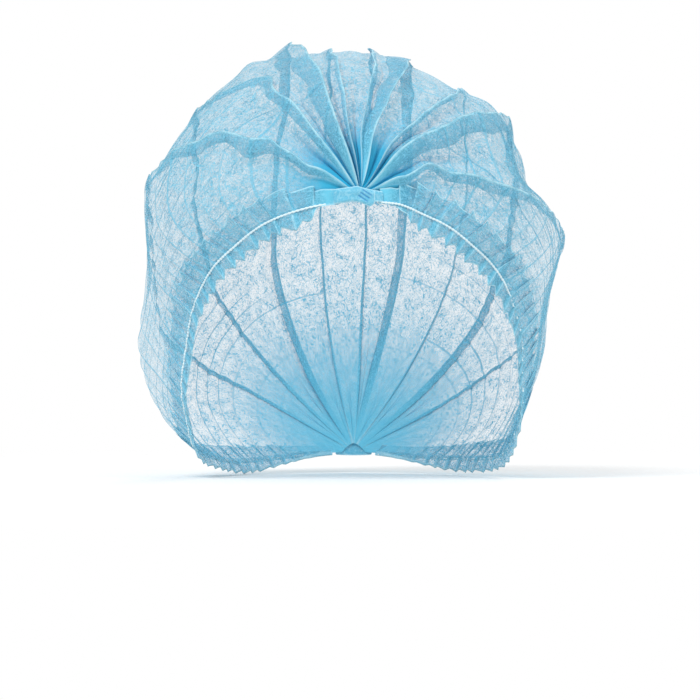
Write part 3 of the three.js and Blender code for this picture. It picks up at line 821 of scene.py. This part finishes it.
def elastic_surface(side):
    """A circle carried along the elastic line, swelling at every bead and closing to a point at both ends.
    It follows the swelling dome, comes out from under its hem and sinks halfway in again. The circle lies
    in the plane of the dome's normal and the direction up the cloth."""
    share = np.linspace(0, 1, BEADS * BEAD_STEPS + 1)
    along = hem_places(share, side)
    degrees = np.full_like(along, side * HEM_DEG)
    out = ELASTIC_SUNK + (ELASTIC_OFF_CROWN - ELASTIC_SUNK) * ramp(along, *ELASTIC_SURFACES[side])
    out = out + (ELASTIC_HALF_SUNK[side] - ELASTIC_OFF_CROWN) * ramp(along, *ELASTIC_SINKS)
    out = out + ELASTIC_RIDES * np.sin(2 * np.pi * HEM_TUCKS * share) + swells(along, degrees)
    middle = lifted(along, degrees, out)
    outward = lifted(along, degrees, out + 1) - middle
    forward = np.gradient(middle, axis=0)
    forward /= np.linalg.norm(forward, axis=-1, keepdims=True)
    upward = np.cross(forward, outward)
    radius = ELASTIC_RADIUS * (1 + BEAD_SWELLS * np.cos(2 * np.pi * BEADS * share))
    radius = radius * np.sqrt(np.clip(np.minimum(share, 1 - share) / ELASTIC_POINTED, 0, 1))
    turn = np.linspace(0, 2 * np.pi, ELASTIC_SIDES, endpoint=False)[None, :, None]
    ring = np.cos(turn) * outward[:, None] + np.sin(turn) * upward[:, None]
    return middle[:, None] + radius[:, None, None] * ring, share


def tube_object(name, rings, values):
    """A mesh from rings of points, closed round each ring."""
    count, sides = rings.shape[:2]
    index = np.arange(count * sides).reshape(count, sides)
    turned = np.roll(index, -1, axis=1)
    quads = np.stack([index[:-1], turned[:-1], turned[1:], index[1:]], -1).reshape(-1, 4)
    return mesh_object(name, rings, quads, values)


THREAD_WHITE = (0.76, 0.88, 0.91, 1)
THREAD_SHADE = (0.36, 0.66, 0.78, 1)
THREAD_ROUGHNESS = 0.6
SPECKLES_PER_METRE = 2500.0


def thread_material():
    """White wound cover: slanting winds by a wave of the distance along, greyer blue between them."""
    material, tree, surface = new_material("elastic_thread")
    wind = sum_of(tree, "PINGPONG", attribute(tree, "wind"), 0.5)
    place = wired(tree, "ShaderNodeTexCoord", {}).outputs["Object"]
    speckle = wired(tree, "ShaderNodeTexNoise", {
        "Vector": place, "Scale": SPECKLES_PER_METRE, "Detail": 2.0,
    }).outputs["Fac"]
    shade = sum_of(tree, "MULTIPLY", band(tree, wind, 0.05, 0.4, 0.8, 0.0), speckle)
    feed(tree, surface, {
        "Base Color": mixed(tree, shade, THREAD_WHITE, THREAD_SHADE),
        "Normal": bumped(tree, wind, 0.5),
        "Roughness": THREAD_ROUGHNESS,
    })
    return material


thread = thread_material()
for label, side in (("left", -1), ("right", 1)):
    rings, share = elastic_surface(side)
    slant = np.linspace(0, 1, ELASTIC_SIDES, endpoint=False)[None, :]
    winds = {"wind": BEADS * share[:, None] + slant}
    elastic = tube_object(f"elastic_thread_{label}", rings if side < 0 else rings[:, ::-1], winds)
    elastic.data.materials.append(thread)
    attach(elastic, "root")
    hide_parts(f"elastic_{label}")

# The welds. At each end the closed pleats are pressed and welded through into a small stiff tab. The front
# one is crossed by the end of a hem, whose corner hangs below it, and bears the tool's slanting lines.
TAB_THICKNESS = 1.7
TAB_HEIGHT = 7.5
TAB_BEND = 0.9  # millimetres by which both ends bend back
TAB_STATIONS = 90
TAB_FACE_ROWS = 44
TAB_LEANS_TO = 0.04  # place along the sheet, from its weld, towards whose top a tab leans
TAB_SQUARE = 50  # powers that round the tab off: its ends in outline, its ends in thickness, its long edges
TAB_END_POWER = 3
TAB_EDGE_POWER = 5

# Outlines of the tabs in millimetres from the middle of the CAD weld: across, upper edge, lower edge.
FRONT_TAB = np.array([
    [-13.2, 2.7, -3.5],
    [-9.8, 3.2, -3.3],
    [-5.7, 3.7, -2.6],
    [-3.3, 4.1, -2.7],
    [-1.3, 3.5, -3.3],
    [2.0, 2.7, -4.7],
    [3.5, 2.4, -3.9],
    [4.1, 2.3, -2.5],
    [7.6, 1.8, -2.6],
])
REAR_TAB = np.array([[-8.4, 3.6, -3.6], [0.0, 3.75, -3.75], [8.4, 3.6, -3.6]])
FLAP_END = 4.0  # where the crossing hem is cut off, which leaves a step in the front tab
FLAP_STEP = 0.45
FLAP_STEP_HALF = 0.2
# The cut edge at the flap's end gets a weaker painted highlight.
FLAP_EDGE_SHADE = 0.15  # millimetres by which its cut edge counts as farther off, so that it is less pale
LINES = {"count": 3, "length": 5.6, "width": 0.3, "depth": 0.35, "pitch": 1.5, "turn": np.radians(-34)}
LINE_FULL = 0.35  # share of its length, from its middle, over which a weld line is fully deep
WRINKLE, FINE_WRINKLE = 0.12, 0.08


def tab_relief(x, y):
    """Height of the pressed face: shallow wrinkles, and the slanting weld lines sunk into it as bell-shaped
    grooves. Also returns how deep in a groove each place lies."""
    wrinkled = WRINKLE * np.sin(1.6 * y + 0.5 * np.sin(0.5 * x) + 0.12 * x)
    wrinkled = wrinkled + FINE_WRINKLE * np.sin(0.8 * x - 0.9 * y)
    forward = x * np.cos(LINES["turn"]) + y * np.sin(LINES["turn"])
    inside = 1 - ramp(np.abs(forward), LINE_FULL * LINES["length"], LINES["length"] / 2)
    grooves = np.zeros_like(x)
    for i in range(LINES["count"]):
        shift = (i - (LINES["count"] - 1) / 2) * LINES["pitch"]
        aside = y * np.cos(LINES["turn"]) - x * np.sin(LINES["turn"]) - shift
        grooves = grooves + inside * bell(aside, LINES["width"])
    return wrinkled - LINES["depth"] * grooves, grooves


def tab_surface(outline, flap):
    """A loop round the tab's section carried across it: the pressed front from its lower to its upper edge,
    then the plain back. Both ends close off square, by a fourth root, thin out and bend back, by a fourth
    power of the way out, and a flap ends in a step. Returns the loops, the sunk share of each point and its
    distance in millimetres from a cut edge."""
    even = np.cos(np.linspace(np.pi, 0, TAB_STATIONS))[:, None]
    left, right = outline[0, 0], outline[-1, 0]
    x = (left + right) / 2 + (right - left) / 2 * even
    closing = (1 - np.abs(even) ** TAB_SQUARE) ** (1 / 4)
    upper, lower = (np.interp(x, outline[:, 0], outline[:, k]) for k in (1, 2))
    share = np.linspace(0, 1, TAB_FACE_ROWS)[None, :]
    y = (upper + lower) / 2 + (upper - lower) * closing * (share - 0.5)
    x = np.broadcast_to(x, y.shape)
    relief, grooves = tab_relief(x, y)
    edge = np.minimum(y - lower, upper - y)
    if flap:
        relief = relief - FLAP_STEP * ramp(x, FLAP_END - FLAP_STEP_HALF, FLAP_END + FLAP_STEP_HALF)
        edge = np.minimum(edge, np.abs(x - FLAP_END) + FLAP_EDGE_SHADE)
    plump = np.sqrt(1 - np.abs(even) ** TAB_END_POWER) * (1 - np.abs(2 * share - 1) ** TAB_EDGE_POWER)
    bent = -TAB_BEND * even**4
    face = np.stack([x, y, bent + plump * (TAB_THICKNESS / 2 + relief)], -1)
    rear = np.stack([x, y, bent - plump * TAB_THICKNESS / 2], -1)[:, -2:0:-1]
    sunk = np.concatenate([grooves, np.zeros_like(rear[..., 0])], axis=1)
    edge = np.concatenate([edge, edge[:, -2:0:-1]], axis=1)
    return np.concatenate([face, rear], axis=1), {"sunk": sunk, "edge_mm": edge}


WELD_BLUE = (0.03, 0.25, 0.52, 1)
WELD_ROUGHNESS = 0.4


def tab_material():
    """Cloth pressed solid: closed, pale along its cut edges by a painted highlight, deep blue and glossier
    in the weld lines, with fibres still showing."""
    material, tree, surface = new_material("welded_cloth")
    place = wired(tree, "ShaderNodeTexCoord", {}).outputs["Object"]
    flat = wired(tree, "ShaderNodeMapping", {"Vector": place, "Rotation": (np.pi / 2, 0, 0)}).outputs[0]
    fibres = wired(tree, "ShaderNodeGroup", {"Place": flat}, node_tree=FIBRES).outputs["Fibres"]
    sunk = attribute(tree, "sunk")
    # A painted highlight along the cut edges.
    edge = band(tree, attribute(tree, "edge_mm"), 0.15, 0.6, 0.7, 0.0)
    fibres_and_highlight = sum_of(tree, "MULTIPLY_ADD", fibres, 0.4, edge, clamp=True)
    colour = mixed(tree, fibres_and_highlight, CLOTH_BLUE, CLOTH_PALE_AND_HIGHLIGHT)
    feed(tree, surface, {
        "Base Color": mixed(tree, sunk, colour, WELD_BLUE),
        "Roughness": band(tree, sunk, 0, 1, CLOTH_ROUGHNESS, WELD_ROUGHNESS),
        "Normal": bumped(tree, fibres, 0.3),
    })
    return material


welded = tab_material()
for label, end, facing, outline in (("front", 0, -1, FRONT_TAB), ("rear", 1, 1, REAR_TAB)):
    low, high = (np.array(corner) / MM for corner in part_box(f"weld_{label}"))
    foot, top = section(np.array([end])), section(np.array([end - facing * TAB_LEANS_TO]))
    up = np.array([0, top["top_y"][0] - foot["hem_y"][0], top["top_z"][0] - foot["hem_z"][0]])
    up /= np.linalg.norm(up)
    across = np.array([-facing, 0, 0])
    outward = np.cross(across, up)
    middle = (low + high) / 2
    middle[2] = high[2] - TAB_HEIGHT / 2 * up[2]
    loops, values = tab_surface(outline, label == "front")
    loops = middle + loops[..., :1] * across + loops[..., 1:2] * up + loops[..., 2:] * outward
    tab = tube_object(f"weld_tab_{label}", loops, values)
    tab.data.materials.append(welded)
    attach(tab, "root")
    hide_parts(f"weld_{label}")

# Stage and light. A round pale floor lies just under the lowest frill, fades out into a white surround and
# is clear from below. One broad lamp stands high at the front left, weaker ones at the right and the rear.
FLOOR_GAP = 0.0005
FLOOR_RADIUS = 0.55
FLOOR_FADES_FROM = 0.12
FLOOR_SIDES = 96
FLOOR_PALE = (0.93, 0.93, 0.93, 1)
FLOOR_ROUGHNESS = 0.9
SURROUND_LIGHT = 0.55
LAMP_SIZE = 0.9
scene.view_settings.view_transform = "Standard"
scene.cycles.transparent_max_bounces = 48
turn = np.linspace(0, 2 * np.pi, FLOOR_SIDES, endpoint=False)
level = np.full_like(turn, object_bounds()[0][2] - FLOOR_GAP)
rim = np.stack([FLOOR_RADIUS * np.cos(turn), FLOOR_RADIUS * np.sin(turn), level], -1)
floor_mesh = bpy.data.meshes.new("floor")
floor_mesh.from_pydata(rim, [], [list(range(FLOOR_SIDES))])
floor = bpy.data.objects.new("floor", floor_mesh)
scene.collection.objects.link(floor)
floor_paint, tree, surface = new_material("floor")
place = wired(tree, "ShaderNodeTexCoord", {}).outputs["Object"]
from_middle = wired(tree, "ShaderNodeVectorMath", {0: place}, operation="LENGTH").outputs["Value"]
from_below = wired(tree, "ShaderNodeNewGeometry", {}).outputs["Backfacing"]
faded = band(tree, from_middle, FLOOR_FADES_FROM, FLOOR_RADIUS, 1.0, 0.0)
feed(tree, surface, {
    "Alpha": sum_of(tree, "SUBTRACT", faded, from_below, clamp=True),
    "Base Color": FLOOR_PALE,
    "Roughness": FLOOR_ROUGHNESS,
})
floor_mesh.materials.append(floor_paint)
world = bpy.data.worlds.new("studio")
world.use_nodes = True
seen = wired(world.node_tree, "ShaderNodeLightPath", {}).outputs["Is Camera Ray"]
feed(world.node_tree, world.node_tree.nodes["Background"], {
    "Color": (1, 1, 1, 1),
    "Strength": sum_of(world.node_tree, "MULTIPLY_ADD", seen, 1 - SURROUND_LIGHT, SURROUND_LIGHT),
})
scene.world = world


def lamp(name, place, power):
    """A square lamp that faces the cap."""
    data = bpy.data.lights.new(name, "AREA")
    data.size = LAMP_SIZE
    data.energy = power
    made = bpy.data.objects.new(name, data)
    made.location = place
    made.rotation_euler = (-made.location).to_track_quat("-Z", "Y").to_euler()
    scene.collection.objects.link(made)


lamp("key", (-0.9, -1.5, 1.6), 36)
lamp("side", (1.6, -0.9, 0.7), 12)
lamp("rear", (0.5, 1.8, 1.1), 14)
